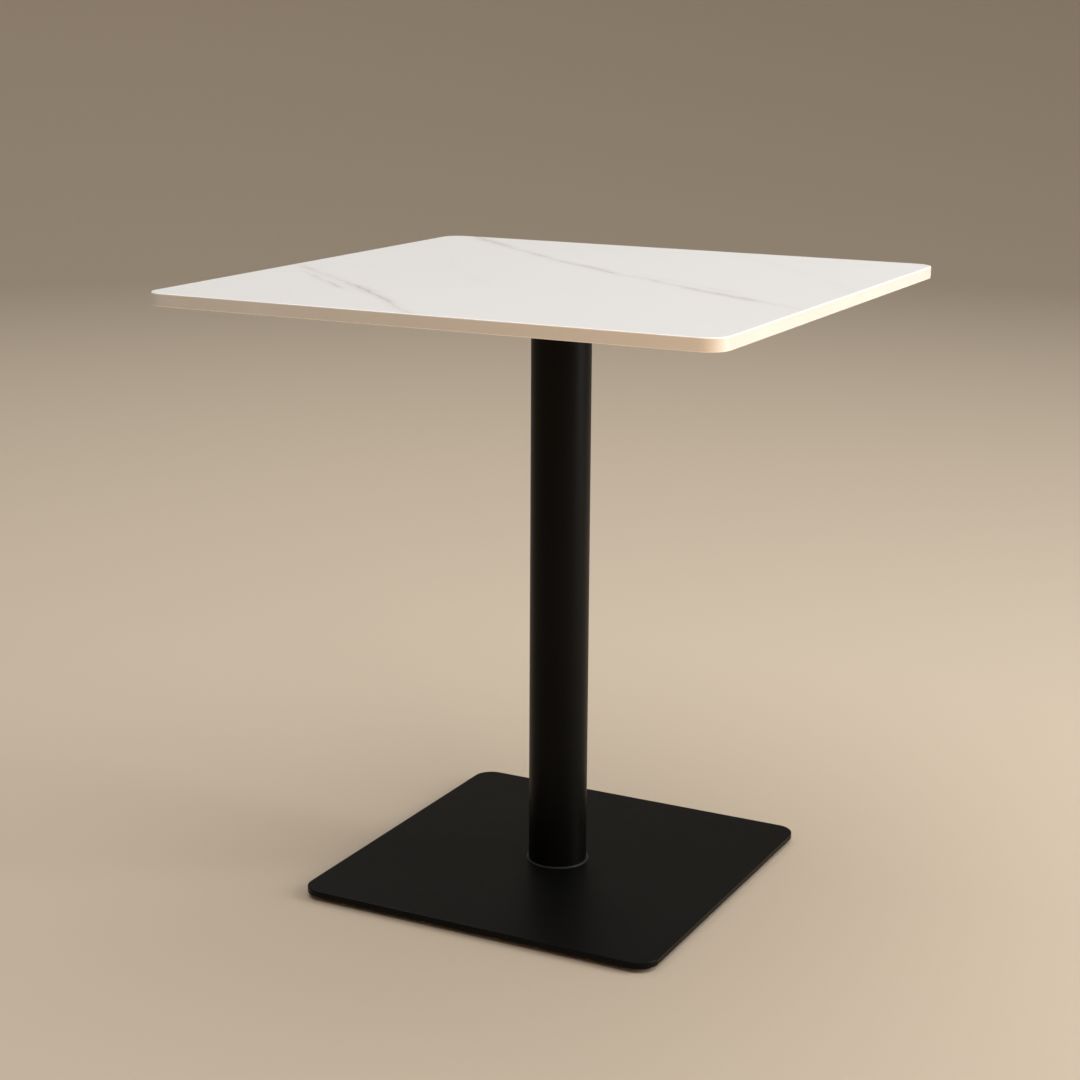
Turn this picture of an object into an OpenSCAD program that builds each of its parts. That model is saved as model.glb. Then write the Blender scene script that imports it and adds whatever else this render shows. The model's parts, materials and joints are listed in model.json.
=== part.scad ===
// Bistro table: a square laminated top on a round steel column and a flat square base plate.
// Frame: origin on the floor under the column's centre, +Z up, -Y to the front. Millimetres.

/* [Table] */
// Height of the top's upper face above the floor
table_h = 750; // [700:5:780]
// Side of the square top
top_side = 700; // [600:10:800]
// Whole thickness of the top
top_t = 15; // [15:1:22]
// Corner radius of the top and of the base plate
corner_r = 25; // [18:1:40]

/* [Top] */
// Thickness of the laminate sheets on the two faces
sheet_t = 0.8; // [0.6:0.1:1]
// Thickness of the plastic band around the edge
band_t = 2; // [1.5:0.5:3]
// Rounding of the band's two arrises
band_arris = 1; // [0.4:0.1:1.2]

/* [Base] */
// Side of the square base plate
base_side = 470; // [400:10:520]
// Thickness of the base plate
base_t = 8; // [8:1:12]
// Height of the base plate's underside above the floor
base_gap = 5; // [5:0.5:7]
// Rounding of the base plate's arrises
base_arris = 1; // [0.5:0.1:1.5]

/* [Column] */
// Outside diameter of the column tube
column_d = 73; // [70:1:80]
// Wall thickness of the column tube
column_wall = 2; // [1.5:0.5:3]
// Height of the ring that the column stands on
ring_h = 1.5; // [1:0.5:3]
// How far the ring stands out past the column all round
ring_lip = 3; // [1:0.5:4]

/* [Spider] */
// Distance from the column's axis to the outer bolt of each arm
arm_reach = 178; // [160:1:200]
// Width of an arm beside the hub
arm_root_w = 40; // [36:1:46]
// Width of an arm at its round end
arm_tip_w = 28; // [24:1:32]
// Thickness of the arms' upper flange
arm_t = 6; // [5:0.5:7]
// Depth of the hub between the top and the column
hub_h = 22; // [20:1:26]

/* [Feet] */
// Distance from the base plate's sides to each foot's axis
foot_inset = 38; // [32:1:60]
// Diameter of the foot pads
pad_d = 28; // [24:1:32]
// Depth of the tapped hole for each foot
foot_hole_h = 6.5; // [6:0.25:6.5]

/* [Hidden] */
$fn = 96;

// Levels, from the floor up
plate_top = base_gap + base_t;
column_foot = plate_top + ring_h;
top_under = table_h - top_t;
core_under = top_under + sheet_t;
core_top = table_h - sheet_t;
column_head = top_under - hub_h;
arm_under = top_under - arm_t;

// Running and threading clearance on a radius
slack = 0.05;
// Clearance of the two spigots in the tube, on a radius
spigot_slack = 0.2;
tube_inner_r = column_d / 2 - column_wall;
spigot_r = tube_inner_r - spigot_slack;

// Base spigot and its four countersunk M8 screws
base_spigot_h = 20;
base_screw_pcd = 44;
base_screw_r = 4;
base_screw_len = 20;
base_screw_head_r = 8;
base_screw_land = 0.4;
base_screw_key = 5;
base_screw_play = 0.5;

// Spider casting
hub_r = 42;
hub_rim = 6;
hub_floor = 8;
hub_spigot_h = 18;
hub_spigot_wall = 6;
nut_well_r = 16;
nut_well_wall = 6;
nut_well_floor = 2;
web_w = 5;
web_end = 105;
inner_bolt_reach = 125;

// M12 tie rod, its nuts and washers
rod_r = 6;
rod_hole_r = 6.5;
rod_foot = plate_top + 1;
rod_head = top_under - 1.5;
m12_af = 18;
m12_nut_h = 10.8;
m12_jam_h = 6;
m12_washer = [24, 2.5];
m12_spring = [21, 3];
well_floor = column_head + nut_well_floor;

// M6 bolts of the spider, their washers and the threaded inserts in the core board
m6_r = 3;
m6_len = 20;
m6_af = 10;
m6_head_h = 4;
m6_hole_r = 3.5;
m6_washer = [12, 1.6];
m6_spring = [11, 1.6];
insert_r = 5;
insert_collar_r = 6.5;
insert_len = 11;
insert_relief = 0.5;
bolt_seat = arm_under - m6_washer[1] - m6_spring[1];

// Levelling feet: M8 stems with a hexagon, on swivelling pads
stem_r = 4;
stem_top = base_gap + foot_hole_h - 0.5;
stem_hex_af = 13;
stem_hex = [base_gap - 1.7, base_gap - 0.3];
stem_disc_r = 6;
stem_disc = [1.05, 2.25];
stem_neck_r = 3.5;
pad_h = 3;
pad_floor = 1;
pad_lip = 2.4;
foot_xy = base_side / 2 - foot_inset;

// Square outline of round corners, centred
module round_square(side, r) {
    square([side, side - 2 * r], center = true);
    square([side - 2 * r, side], center = true);
    for (x = [-1, 1], y = [-1, 1])
        translate([x * (side / 2 - r), y * (side / 2 - r)]) circle(r);
}

// Quarter arc of radius a about c, from angle start, as points
function arc(c, a, start) =
    [for (i = [0 : 4]) c + a * [cos(start + i * 22.5), sin(start + i * 22.5)]];

// Half section of a slab of thickness t that ends at x = w in two arrises of radius a
function slab_section(w, t, a) = concat(
    [[0, 0]], arc([w - a, a], a, 270), arc([w - a, t - a], a, 0), [[0, t]]);

// Slab with round corners of radius r and arrises of radius a, from z = 0 to t
module soft_slab(side, t, r, a) {
    c = side / 2 - r;
    for (turn = [0 : 90 : 270]) rotate([0, 0, turn]) {
        translate([0, c, 0]) rotate([90, 0, 0])
            linear_extrude(2 * c) polygon(slab_section(side / 2, t, a));
        translate([c, c, 0]) rotate_extrude() polygon(slab_section(r, t, a));
    }
}

// Flat ring from z = 0 to h
module ring(outer_r, inner_r, h) {
    difference() {
        cylinder(h = h, r = outer_r);
        translate([0, 0, -1]) cylinder(h = h + 2, r = inner_r);
    }
}

// Split spring washer, drawn flat as it lies when tight
module split_ring(outer_r, inner_r, h) {
    difference() {
        ring(outer_r, inner_r, h);
        translate([0, -0.6, -1]) rotate([0, 0, 12]) cube([outer_r + 1, 1.2, h + 2]);
    }
}

// Hexagon of width af across its flats, with its corners turned down at both ends
module hexagon(af, h) {
    corner = af / 2 / cos(30);
    drop = (corner - af / 2) * 0.6;
    intersection() {
        cylinder(h = h, r = corner, $fn = 6);
        rotate_extrude() polygon([
            [0, 0], [af / 2, 0], [corner, drop], [corner, h - drop], [af / 2, h], [0, h]]);
    }
}

module hex_nut(af, h, bore_r) {
    difference() {
        hexagon(af, h);
        translate([0, 0, -1]) cylinder(h = h + 2, r = bore_r);
    }
}

// Places its children at the eight bolts of the spider's arms
module at_arm_bolts() {
    for (turn = [0 : 90 : 270], x = [inner_bolt_reach, arm_reach])
        rotate([0, 0, turn]) translate([x, 0, 0]) children();
}

// Places its children at the four screws of the base spigot
module at_base_screws() {
    for (turn = [45 : 90 : 315])
        rotate([0, 0, turn]) translate([base_screw_pcd / 2, 0, 0]) children();
}

// Places its children at one foot: x and y are -1 or 1
module at_foot(x, y) translate([x * foot_xy, y * foot_xy, 0]) children();

// Decorative laminate of the top's upper face
module top_laminate() color("whitesmoke")
    translate([0, 0, core_top]) linear_extrude(sheet_t)
        round_square(top_side - 2 * band_t, corner_r - band_t);

// Board that carries the load, with blind holes for the inserts
module core_board() color("burlywood") difference() {
    translate([0, 0, core_under]) linear_extrude(core_top - core_under)
        round_square(top_side - 2 * band_t, corner_r - band_t);
    at_arm_bolts() translate([0, 0, core_under - 1])
        cylinder(h = top_under + insert_len + insert_relief - core_under + 1, r = insert_r + slack);
}

// Balancing sheet of the top's lower face
module backing_sheet() color("gainsboro") difference() {
    translate([0, 0, top_under]) linear_extrude(sheet_t)
        round_square(top_side - 2 * band_t, corner_r - band_t);
    at_arm_bolts() translate([0, 0, top_under - 1])
        cylinder(h = sheet_t + 2, r = insert_collar_r + slack);
}

// Plastic band glued all round the edge of the top
module edge_band() color("linen") translate([0, 0, top_under]) difference() {
    soft_slab(top_side, top_t, corner_r, band_arris);
    translate([0, 0, -1]) linear_extrude(top_t + 2)
        round_square(top_side - 2 * band_t, corner_r - band_t);
}

// Threaded inserts, with a thin collar flush with the top's lower face
module insert_nuts() color("goldenrod") at_arm_bolts() translate([0, 0, top_under])
    difference() {
        union() {
            cylinder(h = insert_len, r = insert_r);
            cylinder(h = sheet_t, r = insert_collar_r);
        }
        translate([0, 0, -1]) cylinder(h = insert_len + 2, r = m6_r + slack);
    }

// Turned shape of the spider's hub: a spigot in the tube, a floor, a rim and the nut's well
module spider_hub() rotate_extrude() polygon([
    [rod_hole_r, well_floor - hub_floor],
    [spigot_r - hub_spigot_wall, well_floor - hub_floor],
    [spigot_r - hub_spigot_wall, column_head - hub_spigot_h],
    [spigot_r, column_head - hub_spigot_h],
    [spigot_r, column_head],
    [hub_r, column_head],
    [hub_r, top_under],
    [hub_r - hub_rim, top_under],
    [hub_r - hub_rim, well_floor + hub_rim],
    [nut_well_r + nut_well_wall, well_floor + hub_rim],
    [nut_well_r + nut_well_wall, top_under],
    [nut_well_r, top_under],
    [nut_well_r, well_floor],
    [rod_hole_r, well_floor]]);

// One arm along +X: a tapered flange with a round end, on a web that tapers out
module spider_arm() {
    root = hub_r - hub_rim / 2;
    translate([0, 0, arm_under]) linear_extrude(arm_t) polygon([
        [root, -arm_root_w / 2], [arm_reach, -arm_tip_w / 2],
        [arm_reach, arm_tip_w / 2], [root, arm_root_w / 2]]);
    translate([arm_reach, 0, arm_under]) cylinder(h = arm_t, r = arm_tip_w / 2);
    translate([0, web_w / 2, 0]) rotate([90, 0, 0]) linear_extrude(web_w) polygon([
        [root, column_head + 1], [web_end, arm_under], [web_end, arm_under + 1],
        [root, arm_under + 1]]);
}

// Cast spider that carries the top on the column
module spider() color("dimgray") difference() {
    union() {
        spider_hub();
        for (turn = [0 : 90 : 270]) rotate([0, 0, turn]) spider_arm();
    }
    at_arm_bolts() translate([0, 0, arm_under - 1]) cylinder(h = arm_t + 2, r = m6_hole_r);
}

// Hexagon bolts up through the arms into the inserts
module spider_bolts() color("silver") at_arm_bolts() {
    translate([0, 0, bolt_seat - m6_head_h]) hexagon(m6_af, m6_head_h);
    translate([0, 0, bolt_seat - 0.5]) cylinder(h = m6_len + 0.5, r = m6_r);
}

module spider_washers() color("silver") at_arm_bolts()
    translate([0, 0, arm_under - m6_washer[1]])
        ring(m6_washer[0] / 2, m6_r + 0.2, m6_washer[1]);

module spider_spring_washers() color("lightsteelblue") at_arm_bolts()
    translate([0, 0, bolt_seat]) split_ring(m6_spring[0] / 2, m6_r + 0.1, m6_spring[1]);

// Round steel tube between the seat ring and the spider's hub
module column_tube() color("black") translate([0, 0, column_foot])
    ring(column_d / 2, tube_inner_r, column_head - column_foot);

// Thin ring that seats the tube on the painted plate
module column_seat_ring() color("darkslategray") translate([0, 0, plate_top])
    ring(column_d / 2 + ring_lip, spigot_r + spigot_slack, ring_h);

// Threaded rod, drawn at its outside diameter, that pulls the table together
module tie_rod() color("silver") rotate_extrude() polygon([
    [0, rod_foot], [rod_r - 1, rod_foot], [rod_r, rod_foot + 1],
    [rod_r, rod_head - 1], [rod_r - 1, rod_head], [0, rod_head]]);

module tie_rod_washer() color("silver") translate([0, 0, well_floor])
    ring(m12_washer[0] / 2, rod_hole_r, m12_washer[1]);

module tie_rod_spring_washer() color("lightsteelblue")
    translate([0, 0, well_floor + m12_washer[1]])
        split_ring(m12_spring[0] / 2, rod_r + 0.1, m12_spring[1]);

module tie_rod_nut() color("silver")
    translate([0, 0, well_floor + m12_washer[1] + m12_spring[1]])
        hex_nut(m12_af, m12_nut_h, rod_r + slack);

module tie_rod_jam_nut() color("silver") translate([0, 0, plate_top + base_spigot_h])
    hex_nut(m12_af, m12_jam_h, rod_r + slack);

// Steel disc that centres the tube and takes the tie rod and the four screws
module base_spigot() color("slategray") difference() {
    translate([0, 0, plate_top]) cylinder(h = base_spigot_h, r = spigot_r);
    translate([0, 0, plate_top - 1]) cylinder(h = base_spigot_h + 2, r = rod_r + slack);
    at_base_screws() translate([0, 0, plate_top - 1])
        cylinder(h = base_spigot_h + 2, r = base_screw_r + slack);
}

// Countersunk socket screws from below, flush with the plate's underside
module spigot_screws() color("gray") at_base_screws() translate([0, 0, base_gap])
    difference() {
        rotate_extrude() polygon([
            [0, 0], [base_screw_head_r, 0], [base_screw_head_r, base_screw_land],
            [base_screw_r, base_screw_land + base_screw_head_r - base_screw_r],
            [base_screw_r, base_screw_len], [0, base_screw_len]]);
        translate([0, 0, -1]) cylinder(h = 4, r = base_screw_key / 2 / cos(30), $fn = 6);
    }

// Flat base plate, drilled and countersunk for the screws and tapped for the feet
module base_plate() color("black") difference() {
    translate([0, 0, base_gap]) soft_slab(base_side, base_t, corner_r, base_arris);
    at_base_screws() translate([0, 0, base_gap]) rotate_extrude() polygon([
        [0, -1], [base_screw_head_r + 0.1, -1], [base_screw_head_r + 0.1, base_screw_land],
        [base_screw_r + base_screw_play,
         base_screw_land + base_screw_head_r + 0.1 - base_screw_r - base_screw_play],
        [base_screw_r + base_screw_play, base_t + 1], [0, base_t + 1]]);
    for (x = [-1, 1], y = [-1, 1]) at_foot(x, y)
        translate([0, 0, base_gap - 1]) cylinder(h = foot_hole_h + 1, r = stem_r + slack);
}

// Nylon pad: a disc with a socket that the stem's foot snaps into
module foot_pad() color("dimgray") rotate_extrude() polygon([
    [0, 0], [pad_d / 2 - 1, 0], [pad_d / 2, 1], [pad_d / 2, pad_h - 0.8],
    [pad_d / 2 - 0.8, pad_h], [stem_neck_r + 0.6, pad_h], [stem_neck_r + 0.6, pad_lip],
    [stem_disc_r + 0.2, pad_lip], [stem_disc_r + 0.2, pad_floor], [0, pad_floor]]);

// Steel stem: a foot disc, a neck, a hexagon for the spanner and an M8 thread
module foot_stem() color("silver") {
    rotate_extrude() polygon([
        [0, stem_disc[0]], [stem_disc_r, stem_disc[0]], [stem_disc_r, stem_disc[1]],
        [stem_neck_r, stem_disc[1]], [stem_neck_r, stem_hex[0] + 0.2],
        [stem_r, stem_hex[0] + 0.2], [stem_r, stem_top - 0.7], [stem_r - 0.7, stem_top],
        [0, stem_top]]);
    translate([0, 0, stem_hex[0]]) hexagon(stem_hex_af, stem_hex[1] - stem_hex[0]);
}

module front_left_pad() at_foot(-1, -1) foot_pad();
module front_right_pad() at_foot(1, -1) foot_pad();
module back_right_pad() at_foot(1, 1) foot_pad();
module back_left_pad() at_foot(-1, 1) foot_pad();
module front_left_stem() at_foot(-1, -1) foot_stem();
module front_right_stem() at_foot(1, -1) foot_stem();
module back_right_stem() at_foot(1, 1) foot_stem();
module back_left_stem() at_foot(-1, 1) foot_stem();

top_laminate();
core_board();
backing_sheet();
edge_band();
insert_nuts();
spider();
spider_bolts();
spider_washers();
spider_spring_washers();
column_tube();
column_seat_ring();
tie_rod();
tie_rod_washer();
tie_rod_spring_washer();
tie_rod_nut();
tie_rod_jam_nut();
base_spigot();
spigot_screws();
base_plate();
front_left_pad();
front_right_pad();
back_right_pad();
back_left_pad();
front_left_stem();
front_right_stem();
back_right_stem();
back_left_stem();
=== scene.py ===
# %% [markdown]
# # A square bistro table
# A bistro table is a heavy base plate, a column and a light top, pulled together by one long rod.
# The frame holds the real sizes and the joints of the four levelling feet. This lesson dresses it:
# most pieces get a surface worked out with numpy, and every one gets a finish made of nodes.

# %% Load the frame
import json
import math

import bmesh
import bpy
import numpy as np
from mathutils import Matrix, Vector


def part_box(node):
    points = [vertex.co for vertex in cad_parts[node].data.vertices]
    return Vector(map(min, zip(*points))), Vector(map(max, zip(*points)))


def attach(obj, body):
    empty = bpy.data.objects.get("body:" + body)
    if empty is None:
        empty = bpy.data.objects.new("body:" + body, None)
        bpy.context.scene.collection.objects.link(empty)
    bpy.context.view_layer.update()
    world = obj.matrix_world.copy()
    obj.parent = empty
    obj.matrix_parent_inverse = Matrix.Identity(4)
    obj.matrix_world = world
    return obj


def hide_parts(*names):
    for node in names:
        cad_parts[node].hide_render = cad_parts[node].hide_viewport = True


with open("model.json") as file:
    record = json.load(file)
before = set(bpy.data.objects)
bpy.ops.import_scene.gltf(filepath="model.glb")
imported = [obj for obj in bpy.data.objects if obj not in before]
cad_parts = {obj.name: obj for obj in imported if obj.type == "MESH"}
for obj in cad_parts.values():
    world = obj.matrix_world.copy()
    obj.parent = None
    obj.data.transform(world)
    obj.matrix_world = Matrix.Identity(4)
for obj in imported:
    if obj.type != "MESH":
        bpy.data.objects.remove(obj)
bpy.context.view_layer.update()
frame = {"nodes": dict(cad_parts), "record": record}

nodes = frame["nodes"]
record = frame["record"]
MM = 0.001

# %% [markdown]
# ## The camera
# A long lens from well back keeps the table's sides nearly parallel. The camera stands a little
# above the top and to the right, so that the top is a thin, bright lozenge and the base plate is
# seen from higher up. It could be aimed with a constraint, but three turns are plainer to read.

# %% The camera
CAMERA_PLACE = Vector((1.1285, -2.2464, 1.0642))
CAMERA_TURN = math.radians(27.23)
CAMERA_DOWN = math.radians(14.19)
CAMERA_ROLL = math.radians(0.33)
CAMERA_LENS = 70.6
SENSOR = 36.0

camera = bpy.data.objects.new("camera", bpy.data.cameras.new("camera"))
bpy.context.scene.collection.objects.link(camera)
camera.data.lens = CAMERA_LENS
camera.data.sensor_width = SENSOR
camera.matrix_world = (
    Matrix.Translation(CAMERA_PLACE)
    @ Matrix.Rotation(CAMERA_TURN, 4, "Z")
    @ Matrix.Rotation(math.pi / 2 - CAMERA_DOWN, 4, "X")
    @ Matrix.Rotation(CAMERA_ROLL, 4, "Z")
)
bpy.context.scene.camera = camera
print("camera", [round(x, 3) for x in CAMERA_PLACE])

# %% [markdown]
# ## From a grid of points to a mesh
# Nearly every piece of this table is turned, extruded or pressed, so its surface is a grid: rows
# along a profile, columns round the piece. Primitives with modifiers could stand in for some, but
# a formula gives the exact profile. Neighbours in the grid make four-sided faces, and one index
# formula gives them all. Where a row shrinks to a point or two grids meet, points fall on each
# other, so merging doubles closes poles and seams.

# %% Grid to mesh
MERGE = 2e-7


def quads(rows, columns, first):
    """Faces (i, j), (i, j+1), (i+1, j+1), (i+1, j), where point (i, j) is first + i columns + j."""
    i, j = np.meshgrid(np.arange(rows - 1), np.arange(columns - 1), indexing="ij")
    k = first + i * columns + j
    return np.stack([k, k + 1, k + columns + 1, k + columns], axis=-1).reshape(-1, 4)


def raw_mesh(name, grids):
    """One mesh holding every grid, each an array of rows x columns x 3, in metres."""
    points = np.concatenate([grid.reshape(-1, 3) for grid in grids])
    firsts = np.cumsum([0] + [grid.shape[0] * grid.shape[1] for grid in grids])
    faces = np.concatenate([quads(g.shape[0], g.shape[1], n) for g, n in zip(grids, firsts)])
    mesh = bpy.data.meshes.new(name)
    mesh.vertices.add(len(points))
    mesh.vertices.foreach_set("co", points.ravel())
    mesh.loops.add(faces.size)
    mesh.loops.foreach_set("vertex_index", faces.ravel())
    mesh.polygons.add(len(faces))
    mesh.polygons.foreach_set("loop_start", np.arange(0, faces.size, 4))
    mesh.update(calc_edges=True)
    return mesh


def close_mesh(mesh):
    """Merges doubles, drops faces with no area, turns the rest outwards and counts open edges."""
    work = bmesh.new()
    work.from_mesh(mesh)
    bmesh.ops.remove_doubles(work, verts=work.verts, dist=MERGE)
    bmesh.ops.dissolve_degenerate(work, edges=work.edges, dist=MERGE)
    bmesh.ops.recalc_face_normals(work, faces=work.faces)
    open_edges = sum(len(edge.link_faces) != 2 for edge in work.edges)
    work.to_mesh(mesh)
    work.free()
    return open_edges


def solid_mesh(name, grids):
    """A closed mesh from grids."""
    mesh = raw_mesh(name, grids)
    open_edges = close_mesh(mesh)
    if open_edges:
        print(name, "open edges", open_edges)
    return mesh


print("faces in a grid of 4 by 5 points", len(quads(4, 5, 0)))

# %% [markdown]
# ## Finishing a piece
# A real edge is smooth along its length and crisp across it. Smooth shading with sharp edges above
# an angle gives that, and weighted normals keep big flat faces flat beside small arrises. A Bevel
# modifier could round the edges too, but the profiles here are round already. A finished piece is
# then attached to its body and given its material, and the CAD node that it stands for is hidden.

# %% Finishing a piece
SHARP = math.radians(32)


def shade(mesh):
    """Smooth faces that turn crisp where two meet at more than SHARP."""
    mesh.polygons.foreach_set("use_smooth", np.ones(len(mesh.polygons), dtype=bool))
    mesh.set_sharp_from_angle(angle=SHARP)


def make_object(name, data):
    made = bpy.data.objects.new(name, data)
    bpy.context.scene.collection.objects.link(made)
    return made


def finish_mesh(name, mesh, body, node, material, weighted=True):
    """A finished piece from a closed mesh."""
    shade(mesh)
    piece = make_object(name, mesh)
    if weighted:
        piece.modifiers.new("weighted_normals", "WEIGHTED_NORMAL").keep_sharp = True
    mesh.materials.append(material)
    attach(piece, body)
    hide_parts(node)
    print(name, "faces", len(mesh.polygons))


def make_piece(name, grids, body, node, material):
    """A finished piece from its grids."""
    finish_mesh(name, solid_mesh(name, grids), body, node, material)


def box_middle(node):
    low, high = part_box(node)
    return (low.x + high.x) / 2, (low.y + high.y) / 2


def heights(node):
    low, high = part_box(node)
    return low.z, high.z


print("the top's heights", [round(z, 4) for z in heights("edge_band")])

# %% [markdown]
# ## Profiles and lathes
# A turned part is a profile of radius and height, spun round an axis. A Screw modifier could spin
# it, but radius and height kept as arrays of rows x columns let the same lathe make hexagons and
# threads too. The corners of a profile are cut back and joined by true arcs.

# %% Profiles and lathes
def eased(corners, cuts, steps=5):
    """A closed outline whose corners are true arcs. Where the sides meet at p and are cut back to a
    and b, the arc is ((1-s)^2 a + 2 s (1-s) w p + s^2 b) / ((1-s)^2 + 2 s (1-s) w + s^2), for s
    from 0 to 1, with w the sine of half the angle at p."""
    p = np.asarray(corners, dtype=float)
    cut = np.broadcast_to(cuts, len(p))[:, None]
    back = np.roll(p, 1, axis=0) - p
    ahead = np.roll(p, -1, axis=0) - p
    back /= np.linalg.norm(back, axis=1, keepdims=True)
    ahead /= np.linalg.norm(ahead, axis=1, keepdims=True)
    w = np.sqrt((1 - (back * ahead).sum(axis=1)) / 2)[:, None, None]
    a, b = (p + back * cut)[:, None], (p + ahead * cut)[:, None]
    s = np.linspace(0, 1, steps)[None, :, None]
    weights = (1 - s) ** 2 + 2 * s * (1 - s) * w + s**2
    arcs = ((1 - s) ** 2 * a + 2 * s * (1 - s) * w * p[:, None] + s**2 * b) / weights
    return arcs.reshape(-1, 2)


def closed(outline):
    """The outline with its first point again at the end."""
    return np.concatenate([outline, outline[:1]])


def round_rows(profile, columns):
    """The profile's (r, z) at every one of columns + 1 angles: rows x (columns + 1) x 2."""
    return np.repeat(np.asarray(profile, dtype=float)[:, None, :], columns + 1, axis=1)


def angles(columns):
    return np.linspace(0, 2 * math.pi, columns + 1)


def lathe(*blocks, centre=(0.0, 0.0)):
    """Points (r cos t, r sin t, z) about a vertical axis through centre, from blocks of (r, z)."""
    rows = np.concatenate(blocks)
    t = angles(rows.shape[1] - 1)
    r, z = rows[..., 0], rows[..., 1]
    return np.stack([centre[0] + r * np.cos(t), centre[1] + r * np.sin(t), z], axis=-1)


print("points in an eased square", len(eased([(0, 0), (1, 0), (1, 1), (0, 1)], 0.1)))

# %% [markdown]
# ## Hexagons and threads
# A bolt is a hexagon and a helix on one axis. Both could be cut with Booleans, but as rows of the
# same lathe they cost few faces and close without seams: a hexagon only changes the radius with
# the angle, and a thread changes the height with it.

# %% Hexagons and threads
CHAMFER_START = 0.96
THREAD_DEPTH = 0.61
# Where the crest and the root of a thread begin and end, in turns
THREAD_SHARES = np.array([0.0, 0.13, 0.44, 0.69])


def hex_radius(flats, columns):
    """Distance from the axis to a hexagon's side at angle t: (flats / 2) / cos(t mod 60 - 30)."""
    t = angles(columns)
    return flats / 2 / np.cos(np.mod(t, math.pi / 3) - math.pi / 6)


def hex_rows(flats, low, high, columns, chamfer_high=True):
    """Rims of a hexagon. A chamfer cone of 30 degrees starts at c, just inside the flats, so a rim
    lies at (r - c) tan 30 from its end where r is the hexagon's radius, and inside c the end is
    flat."""
    r = hex_radius(flats, columns)
    c = np.full_like(r, flats / 2 * CHAMFER_START)
    drop = (r - c) * math.tan(math.pi / 6)
    ends = [np.stack([c, np.full_like(r, low)], axis=-1), np.stack([r, low + drop], axis=-1)]
    if chamfer_high:
        ends.append(np.stack([r, high - drop], axis=-1))
        ends.append(np.stack([c, np.full_like(r, high)], axis=-1))
    else:
        ends.append(np.stack([r, np.full_like(r, high)], axis=-1))
    return np.array(ends)


def thread_root(radius, pitch):
    return radius - THREAD_DEPTH * pitch


def thread_rows(radius, pitch, low, high, columns, depth_share=1.0):
    """A screw thread from low to high. The rows follow the helix, z = (turn + share + t / 2 pi)
    pitch, with the shares at the ends of the crest and of the root. Both ends run out on a cone:
    r is no more than the root's radius plus the distance to the end."""
    root = radius - THREAD_DEPTH * pitch * depth_share
    levels = np.array([radius, radius, root, root])
    turns = np.arange(-1, math.ceil((high - low) / pitch) + 1)
    row_share = (turns[:, None] + THREAD_SHARES[None, :]).ravel()
    row_level = np.tile(levels, len(turns))
    z = low + (row_share[:, None] + angles(columns)[None, :] / (2 * math.pi)) * pitch
    z = np.clip(z, low, high)
    room = np.minimum(z - low, high - z)
    r = np.minimum(row_level[:, None], root + room)
    return np.stack([r, z], axis=-1)


print("rows in ten turns of thread", len(thread_rows(3 * MM, MM, 0.0, 10 * MM, 12)))

# %% [markdown]
# ## Finishes
# A finish is a small tree of nodes on the Principled shader. What varies over the surface, such as
# grain, mottling and bump, comes from noise on Object coordinates, in metres, so that its scale is
# real. Image textures could do it as well, but they need UVs and show their edges. What is the
# same all over is a plain number on the shader itself.

# %% A helper for node trees
NOISE_LOW, NOISE_HIGH = 0.3, 0.7
MIX_FIRST, MIX_SECOND, MIX_RESULT = 6, 7, 2


def tinted(colour, factor):
    return tuple(min(1.0, c * factor) for c in colour)


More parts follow.
